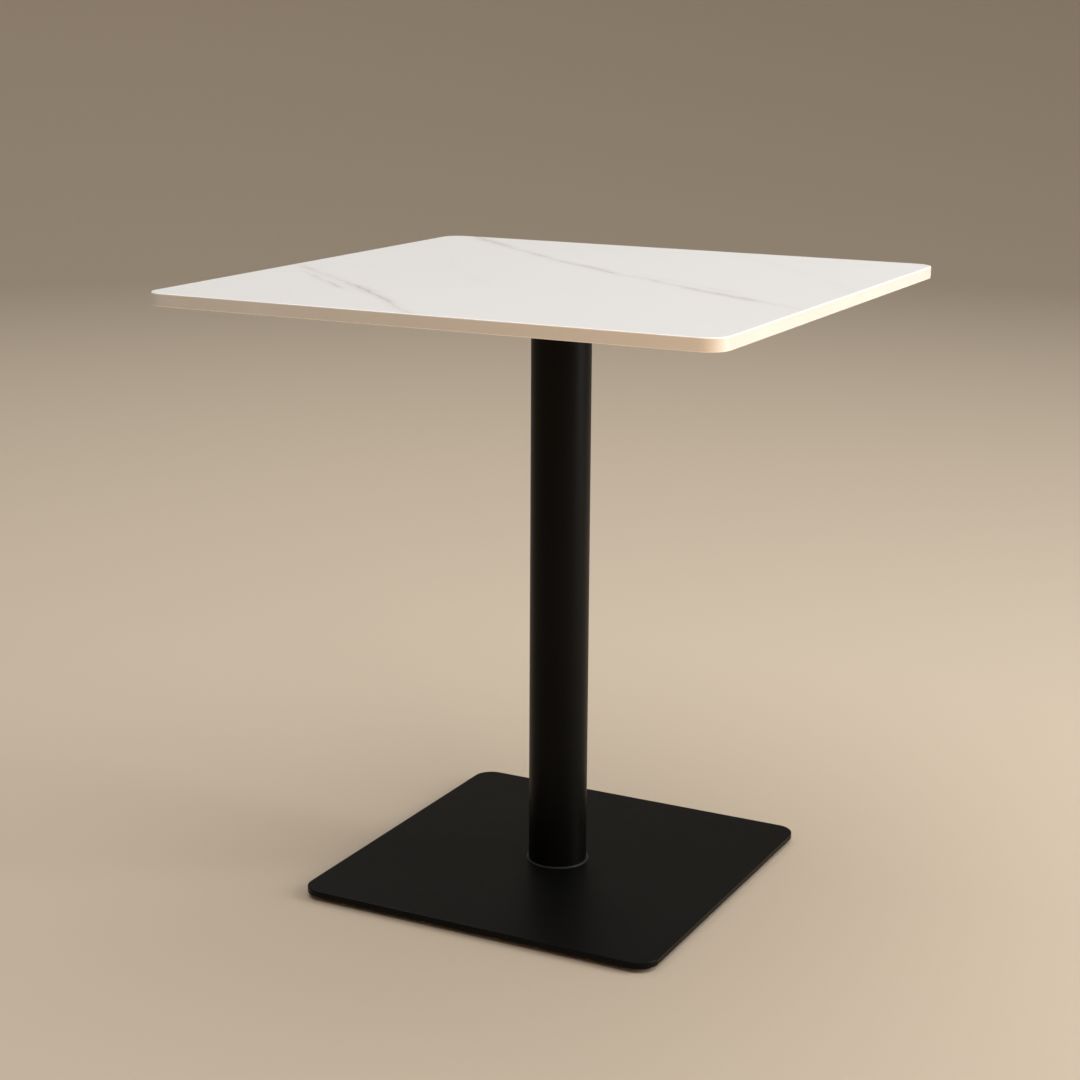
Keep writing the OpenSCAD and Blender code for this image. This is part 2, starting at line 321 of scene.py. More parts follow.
class Finish:
    """A material under construction: each call adds a node and returns its output socket."""

    def __init__(self, name, slot, metallic=0.0, roughness=0.5, **sockets):
        self.material = bpy.data.materials.new(name)
        self.material.use_nodes = True
        self.tree = self.material.node_tree
        self.shader = self.tree.nodes["Principled BSDF"]
        entry = next(m for m in record["materials"] if m["slot"] == slot)
        self.colour = tuple(entry["base_color"][:3])
        self.shader.inputs["Base Color"].default_value = (*self.colour, 1.0)
        self.shader.inputs["Metallic"].default_value = metallic
        self.shader.inputs["Roughness"].default_value = roughness
        for key, value in sockets.items():
            self.shader.inputs[key.replace("_", " ")].default_value = value
        self.place = self.node("ShaderNodeTexCoord", {}, "Object")

    def node(self, kind, inputs, output=0, **settings):
        """Adds a node, sets what it is given as numbers and links what it is given as sockets."""
        made = self.tree.nodes.new(kind)
        for key, value in settings.items():
            setattr(made, key, value)
        for key, value in inputs.items():
            if isinstance(value, bpy.types.NodeSocket):
                self.tree.links.new(value, made.inputs[key])
            else:
                made.inputs[key].default_value = value
        return made.outputs[output]

    def math(self, operation, a, b=0.0):
        return self.node("ShaderNodeMath", {0: a, 1: b}, operation=operation)

    def axis(self, name, vector=None):
        """One coordinate of a vector, or of the place on the piece."""
        return self.node("ShaderNodeSeparateXYZ", {0: vector or self.place}, name)

    def noise(self, scale, detail=3.0, stretch=None):
        """Noise from 0 to 1, with scale in features per metre."""
        where = self.place
        if stretch:
            where = self.node("ShaderNodeMapping", {"Vector": where, "Scale": stretch})
        inputs = {"Vector": where, "Scale": scale, "Detail": detail}
        return self.node("ShaderNodeTexNoise", inputs)

    def span(self, value, low, high, to_low=0.0, to_high=1.0, curve="LINEAR"):
        """Maps low..high to to_low..to_high, and holds the ends."""
        inputs = {"Value": value, "From Min": low, "From Max": high}
        inputs.update({"To Min": to_low, "To Max": to_high})
        return self.node("ShaderNodeMapRange", inputs, interpolation_type=curve)

    def between(self, noise, low, high):
        """Noise seldom leaves the range from NOISE_LOW to NOISE_HIGH: that becomes low..high."""
        return self.span(noise, NOISE_LOW, NOISE_HIGH, low, high)

    def mix(self, share, first, second):
        """The colour first where share is 0 and second where it is 1."""
        inputs = {0: share}
        for key, value in ((MIX_FIRST, first), (MIX_SECOND, second)):
            inputs[key] = value if isinstance(value, bpy.types.NodeSocket) else (*value, 1.0)
        return self.node("ShaderNodeMix", inputs, output=MIX_RESULT, data_type="RGBA")

    def tints(self, share, dark, light):
        """The finish's own colour, times dark where share is 0 and times light where it is 1."""
        return self.mix(share, tinted(self.colour, dark), tinted(self.colour, light))

    def use(self, key, socket):
        self.tree.links.new(socket, self.shader.inputs[key])

    def bump(self, height, depth):
        """Relief of that depth in metres."""
        self.use("Normal", self.node("ShaderNodeBump", {"Height": height, "Distance": depth}))


print("a tint of white", tinted((1.0, 1.0, 1.0), 0.5))

# %% [markdown]
# ## The marble-look laminate
# The top's upper sheet is a printed laminate: a very light warm white with a few long, thin veins
# that cross it on the slant. Ridged noise alone would put veins anywhere, so here each vein is a
# line on the top. The distance to that line, pushed about by noise, gives both a thin dark thread
# and a wide faint halo, and a second noise makes the vein come and go.

# %% The marble-look laminate
VEIN_DARK = (0.46, 0.39, 0.325)
VEIN_FULLEST = 0.8
THREAD = 3.4 * MM
VEIL_STRENGTH = 0.36
# Each vein: a point on it, its direction, how it bends, its half length, strength and halo
VEINS = [
    ((-0.140, -0.220), -41.4, 0.0, 0.300, 0.72, 14 * MM),
    ((-0.240, -0.158), -43.5, 0.2, 0.105, 0.52, 10 * MM),
    ((-0.023, 0.110), -36.2, 0.21, 0.500, 0.70, 15 * MM),
    ((0.150, 0.020), -29.0, 0.1, 0.120, 0.22, 12 * MM),
    ((0.190, 0.235), -47.0, -0.3, 0.300, 0.10, 22 * MM),
    ((-0.150, 0.020), -52.0, 0.3, 0.200, 0.08, 18 * MM),
]


def vein(f, point, degrees, bend, half, strength, halo, wander, fade):
    """Strength of one vein. With x along it and y across, d = |y - bend x^2 + wander|. The thread
    falls from 1 to 0 over THREAD and the veil round it over the halo. Both thin out by fade and
    end at half."""
    turn = (0.0, 0.0, math.radians(degrees))
    inputs = {"Vector": f.place, "Location": (*point, 0.0), "Rotation": turn}
    local = f.node("ShaderNodeMapping", inputs, vector_type="TEXTURE")
    along, across = f.axis("X", local), f.axis("Y", local)
    sag = f.math("MULTIPLY", f.math("MULTIPLY", along, along), bend)
    d = f.math("ABSOLUTE", f.math("ADD", f.math("SUBTRACT", across, sag), wander))
    thread = f.span(d, 0.0, THREAD, 1.0, 0.0, "SMOOTHSTEP")
    veil = f.span(d, 0.0, halo, VEIL_STRENGTH, 0.0, "SMOOTHSTEP")
    ends = f.span(f.math("ABSOLUTE", along), half * 0.6, half, strength, 0.0, "SMOOTHSTEP")
    return f.math("MULTIPLY", f.math("MULTIPLY", f.math("MAXIMUM", thread, veil), fade), ends)


def marble_laminate():
    f = Finish("marble_laminate", "marble_laminate", roughness=0.3, Specular_IOR_Level=0.2)
    slow = f.between(f.noise(6.0, 1.0), -7 * MM, 7 * MM)
    quick = f.span(f.noise(34.0, 1.0), 0.2, 0.8, -3 * MM, 3 * MM)
    wander = f.math("ADD", slow, quick)
    fade = f.span(f.noise(13.0, 2.0), 0.36, 0.62, 0.4, 1.0, "SMOOTHSTEP")
    total = 0.0
    for settings in VEINS:
        total = f.math("ADD", vein(f, *settings, wander, fade), total)
    cloud = f.span(f.noise(3.2, 2.0), 0.35, 0.7, 0.0, 0.06)
    white = f.mix(cloud, f.colour, tinted(VEIN_DARK, 1.35))
    f.use("Base Color", f.mix(f.math("MINIMUM", total, VEIN_FULLEST), white, VEIN_DARK))
    f.bump(f.noise(240.0, 1.0), 0.002 * MM)
    return f.material


marble = marble_laminate()
print(marble.name, "nodes", len(marble.node_tree.nodes))

# %% [markdown]
# ## The cream edge band
# The band is a strip of cream plastic with the faint lengthwise lines of extrusion: noise that is
# fine in height and stretched along the sides. The cutter that trims its two arrises leaves them
# glossier, and they are painted paler as well: a painted highlight along the thin edge. Masks
# could come from the curvature, but a mask on the height is exact.

# %% The cream edge band
BLEACH = (1.0, 1.03, 1.11)
# Colour of the two arrises: a painted highlight, paler than the band
PAINTED_ARRIS_HIGHLIGHT = (0.98, 0.96, 0.93)
TRIM = 1.3 * MM
TRIM_GLOSS = 0.16


def cream_band():
    f = Finish("cream_band", "edge_band", roughness=0.36)
    f.colour = tuple(c * share for c, share in zip(f.colour, BLEACH))
    low, high = heights("edge_band")
    half = (high - low) / 2
    lines = f.noise(60.0, 3.0, stretch=(0.25, 0.25, 22.0))
    plain = f.tints(f.between(f.noise(14.0, 3.0), 0.0, 1.0), 0.97, 1.02)
    from_middle = f.math("ABSOLUTE", f.math("SUBTRACT", f.axis("Z"), (low + high) / 2))
    # The two arrises are painted paler, a painted highlight on the thin rounded edge; the same mask
    # also lowers their roughness for the real gloss of the cut
    arris_highlight_and_gloss = f.span(from_middle, half - TRIM, half - 0.75 * TRIM)
    f.use("Base Color", f.mix(arris_highlight_and_gloss, plain, PAINTED_ARRIS_HIGHLIGHT))
    satin = f.between(lines, 0.33, 0.42)
    f.use("Roughness", f.math("SUBTRACT", satin, f.math("MULTIPLY", arris_highlight_and_gloss, TRIM_GLOSS)))
    f.bump(lines, 0.03 * MM)
    return f.material


cream = cream_band()
print(cream.name, "nodes", len(cream.node_tree.nodes))

# %% [markdown]
# ## Backing sheet and core
# The backing sheet is plain and matt, with a fine speck, and the core is board made of pressed
# wood fibre. Wave textures would draw planks, so plain noise, stretched for the fibres, serves.

# %% Backing sheet and core
def backing_laminate():
    f = Finish("backing_laminate", "backing_laminate", roughness=0.62)
    f.use("Base Color", f.tints(f.between(f.noise(900.0, 2.0), 0.0, 1.0), 0.94, 1.04))
    f.bump(f.noise(260.0, 4.0), 0.04 * MM)
    return f.material


def fibre_board():
    f = Finish("fibre_board", "core_board", roughness=0.85)
    fibres = f.noise(900.0, 5.0, stretch=(1.0, 1.0, 4.0))
    f.use("Base Color", f.tints(f.between(fibres, 0.0, 1.0), 0.75, 1.2))
    f.bump(fibres, 0.1 * MM)
    return f.material


# These two CAD nodes keep their shape, so they only get their finish
nodes["core_board"].data.materials[0] = fibre_board()
nodes["backing_sheet"].data.materials[0] = backing_laminate()
print("kept", "core_board", "backing_sheet")

# %% [markdown]
# ## Black powder coat
# Powder coat flows a little as it bakes, so it has fine orange peel: two sizes of shallow noise,
# which a Voronoi texture would make too regular. It also draws thin and tight over the plate's
# upper arris, which shines a little more.

# %% Black powder coat
ARRIS = 1.0 * MM
ARRIS_GLOSS = 0.2


def powder_coat():
    f = Finish("powder_coat", "black_powder_coat", roughness=0.42, Specular_IOR_Level=0.1)
    edge = heights("base_plate")[1]
    peel = f.math("ADD", f.noise(620.0, 2.0), f.math("MULTIPLY", f.noise(2100.0, 2.0), 0.5))
    f.use("Base Color", f.tints(f.between(f.noise(6.0, 3.0), 0.0, 1.0), 0.16, 0.26))
    height = f.axis("Z")
    above = f.span(height, edge - ARRIS, edge - 0.7 * ARRIS)
    below = f.span(height, edge - 0.1 * ARRIS, edge - 0.02 * ARRIS, 1.0, 0.0)
    tight = f.math("MULTIPLY", f.math("MULTIPLY", above, below), ARRIS_GLOSS)
    satin = f.between(f.noise(24.0, 4.0), 0.36, 0.41)
    f.use("Roughness", f.math("SUBTRACT", satin, tight))
    f.bump(peel, 0.035 * MM)
    return f.material


coat = powder_coat()
print(coat.name, "nodes", len(coat.node_tree.nodes))

# %% [markdown]
# ## Painted casting, rubber and nylon
# The casting keeps the grain of the sand under its paint, which is coarse and rough. The seat ring
# is smooth rubber, and the pads are moulded nylon with light scuffs. One texture could serve all
# three, but each has its own size of grain, and size is what the eye reads.

# %% Painted casting, rubber and nylon
def painted_casting():
    f = Finish("painted_casting", "cast_iron", roughness=0.6)
    sand = f.noise(650.0, 5.0)
    f.use("Base Color", f.tints(f.noise(40.0, 4.0), 0.7, 1.5))
    f.use("Roughness", f.between(sand, 0.5, 0.72))
    f.bump(sand, 0.4 * MM)
    return f.material


def black_rubber():
    f = Finish("black_rubber", "seat_ring", roughness=0.45, Specular_IOR_Level=0.3)
    f.use("Roughness", f.between(f.noise(300.0, 3.0), 0.4, 0.5))
    f.bump(f.noise(900.0, 2.0), 0.03 * MM)
    return f.material


def black_nylon():
    f = Finish("black_nylon", "black_nylon", roughness=0.48)
    scuff = f.noise(320.0, 5.0)
    f.use("Base Color", f.tints(f.span(scuff, 0.5, 0.8), 1.0, 1.8))
    f.use("Roughness", f.between(scuff, 0.42, 0.56))
    f.bump(f.noise(1200.0, 3.0), 0.02 * MM)
    return f.material


casting = painted_casting()
rubber = black_rubber()
nylon = black_nylon()
print("dark finishes", casting.name, rubber.name, nylon.name)

# %% [markdown]
# ## Bare and plated metals
# Plated steel is fully metallic, with a colour and a roughness that wander a little, and fine tool
# marks. Anisotropy could give the turned look, but on such small pieces relief alone is enough.

# %% Bare and plated metals
def plated(name, slot, roughness, marks):
    """Metal whose roughness wanders about its mean, with relief of that many marks per metre."""
    f = Finish(name, slot, metallic=1.0, roughness=roughness)
    f.use("Base Color", f.tints(f.between(f.noise(160.0, 4.0), 0.0, 1.0), 0.86, 1.1))
    f.use("Roughness", f.between(f.noise(400.0, 4.0), roughness * 0.8, roughness * 1.25))
    f.bump(f.noise(marks, 3.0), 0.03 * MM)
    return f.material


zinc = plated("zinc_plate", "zinc_steel", 0.3, 1200.0)
spring_steel = plated("dull_zinc", "spring_steel", 0.42, 1500.0)
bare_steel = plated("turned_steel", "turned_steel", 0.36, 1800.0)
black_oxide = plated("black_oxide", "black_oxide_steel", 0.4, 1500.0)
brass = plated("turned_brass", "brass_insert", 0.3, 1500.0)
nodes["base_spigot"].data.materials[0] = bare_steel
print("metals", [metal.name for metal in (zinc, spring_steel, bare_steel, black_oxide, brass)])

# %% [markdown]
# ## Slabs with round corners
# The top, its band and the base plate share one shape: a profile carried round a square with round
# corners. A bevelled cube comes near it, but can't round its corners and its arrises differently
# without bad corners. A point of the profile is an inset from the side and a height. Insetting a
# round corner only shortens its radius about the same centre, so one formula serves every ring.

# %% Slabs with round corners
CORNER = 25 * MM
CORNER_STEPS = 14
SLAB_STEPS = 7


def carried(profile, side, corner):
    """Rings of (inset d, height z) round a square: x = +-(side/2 - corner) + (corner - d) cos t,
    and y the same with sin t, while t runs through a quarter turn at each corner."""
    quarter = np.linspace(0, math.pi / 2, CORNER_STEPS)
    starts = np.arange(4) * math.pi / 2
    t = (starts[:, None] + quarter[None, :]).ravel()
    middle = np.repeat(starts + math.pi / 4, CORNER_STEPS)
    t, middle = np.append(t, t[0]), np.append(middle, middle[0])
    centre = side / 2 - corner
    d, z = np.asarray(profile, dtype=float).T
    radius = (corner - d)[:, None]
    x = centre * np.sign(np.cos(middle)) + radius * np.cos(t)
    y = centre * np.sign(np.sin(middle)) + radius * np.sin(t)
    return np.stack([x, y, z[:, None] + 0 * x], axis=-1)


def slab(side, corner, low, high, ease):
    """Rings from the inside of the lower face out, up the side and in over the upper face, with a
    point on the axis before the first and after the last."""
    outline = [(corner, low), (0, low), (0, high), (corner, high)]
    rings = carried(eased(outline, [0, ease, ease, 0], SLAB_STEPS), side, corner)
    poles = rings[[0, -1]].copy()
    poles[..., :2] = 0.0
    return np.concatenate([poles[:1], rings, poles[1:]])


print("points round a slab", slab(1.0, CORNER, 0.0, 0.01, MM).shape[1])

# %% [markdown]
# ## The top
# The laminate lies inside the band, flush with it. One slab with a painted edge would be simpler,
# but two real pieces, each with a hair of rounding where they meet, leave the fine line that a
# glued edge shows. The band's own arrises are rounded more, as the trimming cutter leaves them.

# %% The top
HAIR = 0.12 * MM
BAND_STEPS = 9
top_low, top_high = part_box("edge_band")
sheet_low, sheet_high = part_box("top_laminate")
top_side = top_high.x - top_low.x
sheet_side = sheet_high.x - sheet_low.x
band = (top_side - sheet_side) / 2

sheet = slab(sheet_side, CORNER - band, sheet_low.z, sheet_high.z, HAIR)
make_piece("marble_sheet", [sheet], "table", "top_laminate", marble)

band_outline = [(0, top_low.z), (0, top_high.z), (band, top_high.z), (band, top_low.z)]
band_profile = closed(eased(band_outline, [TRIM, TRIM, HAIR, HAIR], BAND_STEPS))
edge = carried(band_profile, top_side, CORNER)
make_piece("cream_edge", [edge], "table", "edge_band", cream)

# %% [markdown]
# ## Drilling
# Holes are made the way a drill makes them: lathe shapes taken away with an exact Boolean. Rings
# of faces round each hole would be lighter, but they don't fit a grid of long thin faces. The
# modifier is tried on a spare object, and its result is kept as a plain mesh.

# %% Drilling
OVERRUN = 1.0 * MM


def applied(name, mesh, modifiers):
    """The mesh after a list of modifiers, each given by its kind and its settings."""
    spare = make_object(name, mesh)
    for kind, settings in modifiers:
        modifier = spare.modifiers.new(kind.lower(), kind)
        for key, value in settings.items():
            setattr(modifier, key, value)
    bpy.context.view_layer.update()
    graph = bpy.context.evaluated_depsgraph_get()
    result = bpy.data.meshes.new_from_object(spare.evaluated_get(graph))
    bpy.data.objects.remove(spare)
    bpy.data.meshes.remove(mesh)
    result.name = name
    return result


def drilled(name, mesh, cutters):
    """The mesh with closed lathe shapes taken away."""
    drill = make_object("drill", solid_mesh("drill", cutters))
    settings = {"operation": "DIFFERENCE", "solver": "EXACT", "object": drill}
    result = applied(name, mesh, [("BOOLEAN", settings)])
    tool_mesh = drill.data
    bpy.data.objects.remove(drill)
    bpy.data.meshes.remove(tool_mesh)
    close_mesh(result)
    print(name, "holes", len(cutters))
    return result


print("a drill runs past a face by", OVERRUN)

# %% [markdown]
# ## The base plate
# The plate is one thick slab of steel with softly rounded arrises. Its underside is drilled: four
# countersunk holes for the screws of the spigot and four blind holes for the feet. A bump could
# fake them, but they are looked into from below, so they are real.

# %% The base plate
M8_R = 4.0 * MM
SCREW_HEAD_R = 8.0 * MM
SCREW_LAND = 0.4 * MM
HEAD_PLAY = 0.1 * MM
SHANK_PLAY = 0.5 * MM
FOOT_PLAY = 0.05 * MM
FOOT_HOLE = 6.5 * MM
MOUTH = 0.5 * MM
FEET = {"front_left": (-1, -1), "front_right": (1, -1), "back_right": (1, 1), "back_left": (-1, 1)}
plate_low, plate_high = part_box("base_plate")
screw_low, screw_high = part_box("spigot_screws")
plate_side = plate_high.x - plate_low.x
screw_ring = (screw_high.x - screw_low.x) / 2 - SCREW_HEAD_R
SCREW_PLACES = [(x * screw_ring, y * screw_ring) for x, y in FEET.values()]


def countersink(centre):
    """The room of a countersunk screw: a cylinder, a 45 degree cone and a clearance hole."""
    wide, narrow = SCREW_HEAD_R + HEAD_PLAY, M8_R + SHANK_PLAY
    start, shoulder, end = plate_low.z - OVERRUN, plate_low.z + SCREW_LAND, plate_high.z + OVERRUN
    outline = [(0, start), (wide, start), (wide, shoulder),
               (narrow, shoulder + wide - narrow), (narrow, end), (0, end)]
    return lathe(round_rows(outline, 48), centre=centre)


def foot_hole(centre):
    """A blind hole with a 45 degree mouth."""
    wide = M8_R + FOOT_PLAY
    start, end = plate_low.z - OVERRUN, plate_low.z + FOOT_HOLE
    outline = [(0, start), (wide + OVERRUN + MOUTH, start), (wide, plate_low.z + MOUTH),
               (wide, end), (0, end)]
    return lathe(round_rows(outline, 40), centre=centre)


plate = solid_mesh("steel_plate", [slab(plate_side, CORNER, plate_low.z, plate_high.z, ARRIS)])
drills = [countersink(place) for place in SCREW_PLACES]
drills += [foot_hole(box_middle(name + "_stem")) for name in FEET]
plate = drilled("steel_plate", plate, drills)
finish_mesh("steel_plate", plate, "table", "base_plate", coat)

# %% [markdown]
# ## The column and its seat ring
# The column is a plain tube. Its ends are cut square with the sharpness taken off. It stands on a
# thin ring that is a little wider, and that catches a line of light at the foot. A cylinder with a
# Solidify modifier could do, but the lathe gives the eased ends in the same step.

# %% The column and its seat ring
ROUND = 160
TUBE_WALL = 2.0 * MM
TUBE_EASE = 0.4 * MM
RING_EASE = 0.9 * MM
RING_HAIR = 0.1 * MM
tube_low, tube_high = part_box("column_tube")
ring_low, ring_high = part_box("column_seat_ring")
tube_r = tube_high.x
bore_r = tube_r - TUBE_WALL


def hollow(outer, inner, low, high, cuts, steps):
    """A tube's closed outline, from its lower outer corner up, in and down."""
    outline = [(outer, low), (outer, high), (inner, high), (inner, low)]
    return closed(eased(outline, cuts, steps))


tube = round_rows(hollow(tube_r, bore_r, tube_low.z, tube_high.z, TUBE_EASE, 5), ROUND)
make_piece("tube", [lathe(tube)], "table", "column_tube", coat)

ring_cuts = [RING_HAIR, RING_EASE, RING_HAIR, RING_HAIR]
ring = round_rows(hollow(ring_high.x, bore_r, ring_low.z, ring_high.z, ring_cuts, 7), ROUND)
make_piece("seat_ring", [lathe(ring)], "table", "column_seat_ring", rubber)

# %% [markdown]
# ## The spider's hub
# Under the top sits an iron casting that bolts it to the column: a turned hub with a spigot that
# goes down into the tube, and a well for the rod's nut. It is a lathe like the others, with its
# corners eased, because the casting's mould can't hold a sharp one.

# %% The spider's hub
HUB_R = 42.0 * MM
HUB_RIM = 6.0 * MM
HUB_FLOOR = 8.0 * MM
HUB_EASE = 1.3 * MM
WELL_R = 16.0 * MM
WELL_FLOOR = 2.0 * MM
WELL_WALL = 6.0 * MM
SPIGOT_H = 18.0 * MM
SPIGOT_WALL = 6.0 * MM
SPIGOT_R = bore_r - 0.2 * MM
ROD_HOLE_R = 6.5 * MM
head_z = tube_high.z
under_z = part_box("spider")[1].z
well_z = head_z + WELL_FLOOR


def hub():
    """A lathe: rod hole, spigot, rim and the well that the rod's nut sits in."""
    floor_z, spigot_z = well_z - HUB_FLOOR, head_z - SPIGOT_H
    rim, inner, wall = HUB_R - HUB_RIM, SPIGOT_R - SPIGOT_WALL, WELL_R + WELL_WALL
    outline = [
        (ROD_HOLE_R, floor_z), (inner, floor_z), (inner, spigot_z), (SPIGOT_R, spigot_z),
        (SPIGOT_R, head_z), (HUB_R, head_z), (HUB_R, under_z), (rim, under_z),
        (rim, well_z + HUB_RIM), (wall, well_z + HUB_RIM), (wall, under_z), (WELL_R, under_z),
        (WELL_R, well_z), (ROD_HOLE_R, well_z)]
    return lathe(round_rows(closed(eased(outline, HUB_EASE)), 96))


print("hub points", hub().shape[:2])

# %% [markdown]
# ## The spider's arms
# Each arm is a tapered flange that lies under the top, on an upright web that stiffens it near the
# hub. The flange's edges are round before the parts are joined, because a remesh only keeps a
# corner clean when its radius is larger than a voxel.

# %% The spider's arms
ARM_T = 6.0 * MM
ARM_EDGE = 1.9 * MM
ARM_ROOT_W = 40.0 * MM
ARM_TIP_W = 28.0 * MM
WEB_W = 5.0 * MM
WEB_END = 105.0 * MM
INNER_BOLT = 125.0 * MM
arm_root = HUB_R - HUB_RIM / 2
arm_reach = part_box("spider")[1].x - ARM_TIP_W / 2
arm_z = under_z - ARM_T


def turned(grid, turn):
    """The grid turned about the vertical axis: x cos - y sin, x sin + y cos."""
    c, s = math.cos(turn), math.sin(turn)
    x, y, z = grid[..., 0], grid[..., 1], grid[..., 2]
    return np.stack([x * c - y * s, x * s + y * c, z], axis=-1)


def flange(turn):
    """Straight tapered sides from the hub and a half circle about the outer bolt, with round edges:
    at angle a round an edge of radius e, the outline is inset by e (1 - sin a) at e (1 - cos a)
    from its face. The inset is along its normals, its tangents turned by a quarter."""
    t = np.linspace(-math.pi / 2, math.pi / 2, 25)
    tip = np.column_stack([arm_reach + ARM_TIP_W / 2 * np.cos(t), ARM_TIP_W / 2 * np.sin(t)])
    outline = np.concatenate([[(arm_root, -ARM_ROOT_W / 2)], tip, [(arm_root, ARM_ROOT_W / 2)]])
    tangent = np.roll(outline, -1, axis=0) - np.roll(outline, 1, axis=0)
    tangent /= np.linalg.norm(tangent, axis=1, keepdims=True)
    normal = np.column_stack([tangent[:, 1], -tangent[:, 0]])
    a = np.linspace(0, math.pi / 2, 6)
    inset, rise = ARM_EDGE * (1 - np.sin(a)), ARM_EDGE * (1 - np.cos(a))
    inset = np.append(inset, inset[::-1])[:, None, None]
    rows = closed(outline)[None] - inset * closed(normal)[None]
    middle = np.broadcast_to(outline.mean(axis=0), rows[:1].shape)
    rows = np.concatenate([middle, rows, middle])
    z = np.concatenate([[arm_z], arm_z + rise, under_z - rise[::-1], [under_z]])
    z = np.broadcast_to(z[:, None, None], (*rows.shape[:2], 1))
    return turned(np.concatenate([rows, z], axis=-1), turn)


def web(turn):
    """An upright triangle under the flange, (x, z) at two values of y: deep at the hub, gone at
    WEB_END, and closed at both sides by its middle."""
    side = closed(np.array([(arm_root, head_z + MM), (WEB_END, arm_z), (WEB_END, arm_z + MM),
                            (arm_root, arm_z + MM)]))
    middle = np.broadcast_to(side[:-1].mean(axis=0), side.shape)
    rows = np.stack([middle, side, side, middle])
    y = np.broadcast_to(np.array([-1, -1, 1, 1])[:, None] * WEB_W / 2, rows.shape[:2])
    return turned(np.stack([rows[..., 0], y, rows[..., 1]], axis=-1), turn)


QUARTERS = [k * math.pi / 2 for k in range(4)]
spider_grids = [hub()] + [arm(turn) for arm in (flange, web) for turn in QUARTERS]
BOLT_PLACES = [(round(math.cos(turn)) * reach, round(math.sin(turn)) * reach)
               for reach in (INNER_BOLT, arm_reach) for turn in QUARTERS]
print("spider shapes", len(spider_grids), "bolts", len(BOLT_PLACES))

# %% [markdown]
# ## One casting from many shapes
# Cast corners are never sharp. The plain shapes could be joined by Booleans, but those keep every
# crease. A voxel remesh joins them into one skin, a few smoothing steps melt the creases into
# fillets, and two faces are put back flat, as machining would. The bolt holes are drilled last.

# %% One casting from many shapes
VOXEL = 1.15 * MM
MELTING = 5
MACHINED = 0.4 * MM
BOLT_HOLE_R = 3.5 * MM


def flatten_levels(mesh, levels, reach):
    """Machined faces: points within reach of a level are put on it."""
    points = np.empty(len(mesh.vertices) * 3)
    mesh.vertices.foreach_get("co", points)
    z = points[2::3]
    for level in levels:
        z[np.abs(z - level) < reach] = level
    mesh.vertices.foreach_set("co", points)
    mesh.update()


def bolt_hole(centre):
    start, end = arm_z - OVERRUN, under_z + OVERRUN
    outline = [(0, start), (BOLT_HOLE_R, start), (BOLT_HOLE_R, end), (0, end)]
    return lathe(round_rows(outline, 32), centre=centre)


skin = [("REMESH", {"mode": "VOXEL", "voxel_size": VOXEL}),
        ("SMOOTH", {"factor": 0.5, "iterations": MELTING})]
spider = applied("spider_casting", solid_mesh("spider_casting", spider_grids), skin)
flatten_levels(spider, [under_z, head_z], MACHINED)
spider = drilled("spider_casting", spider, [bolt_hole(place) for place in BOLT_PLACES])
finish_mesh("spider_casting", spider, "table", "spider", casting, weighted=False)

# %% [markdown]
# ## Bolts and nuts
# The arm bolts and the nuts of the rod are plain hexagon ones. Each could be an instance of one
# mesh, but a piece stands for all eight bolts at once, so they are grids in one mesh. A bolt is
# one lathe from end to end: hexagon, shoulder and thread are rows of the same grid.

# %% Bolts and nuts
FINE = 48
M6_R, M6_PITCH, M6_FLATS, M6_HEAD = 3.0 * MM, 1.0 * MM, 10.0 * MM, 4.0 * MM
M12_R, M12_PITCH, M12_FLATS, M12_BORE = 6.0 * MM, 1.75 * MM, 18.0 * MM, 6.05 * MM
NUT_LEAD = 0.6 * MM


def hex_bolt(centre, low, high):
    """Head from low up, then a thread to high."""
    under = low + M6_HEAD
    return lathe(
        round_rows([(0, low)], FINE),
        hex_rows(M6_FLATS, low, under, FINE, chamfer_high=False),
        round_rows([(thread_root(M6_R, M6_PITCH), under)], FINE),
        thread_rows(M6_R, M6_PITCH, under, high, FINE),
        round_rows([(0, high)], FINE), centre=centre)


def hex_nut(low, high):
    """Hexagon outside, round bore inside with a small countersink at each end."""
    wide = M12_BORE + NUT_LEAD
    inside = [(wide, high), (M12_BORE, high - NUT_LEAD), (M12_BORE, low + NUT_LEAD), (wide, low)]
    rims = hex_rows(M12_FLATS, low, high, FINE)
    return lathe(rims, round_rows(inside, FINE), rims[:1])


bolts = [hex_bolt(place, *heights("spider_bolts")) for place in BOLT_PLACES]
make_piece("arm_bolts", bolts, "table", "spider_bolts", zinc)
nut = hex_nut(*heights("tie_rod_nut"))
make_piece("rod_nut", [nut], "table", "tie_rod_nut", zinc)
jam_nut = hex_nut(*heights("tie_rod_jam_nut"))
make_piece("rod_jam_nut", [jam_nut], "table", "tie_rod_jam_nut", zinc)

# %% [markdown]
# ## Washers
# A flat washer spreads the load and a spring washer keeps the bolt from working loose. The first
# is a lathe. The second is a rectangle carried round most of a circle, with its two ends closed: a
# lathe with a Boolean slot would give the same, but with ragged ends.

# %% Washers
WASHER_EASE = 0.15 * MM
WASHER_GAP = math.radians(12)
# Inner and outer radius of each kind
M6_WASHER = (3.2 * MM, 6.0 * MM)
M6_SPRING = (3.1 * MM, 5.5 * MM)
M12_WASHER = (6.5 * MM, 12.0 * MM)
M12_SPRING = (6.1 * MM, 10.5 * MM)
AXIS = (0.0, 0.0)


def flat_washer(centre, inner, outer, low, high):
    """A flat ring with slightly rounded edges."""
    return lathe(round_rows(hollow(outer, inner, low, high, WASHER_EASE, 3), FINE), centre=centre)


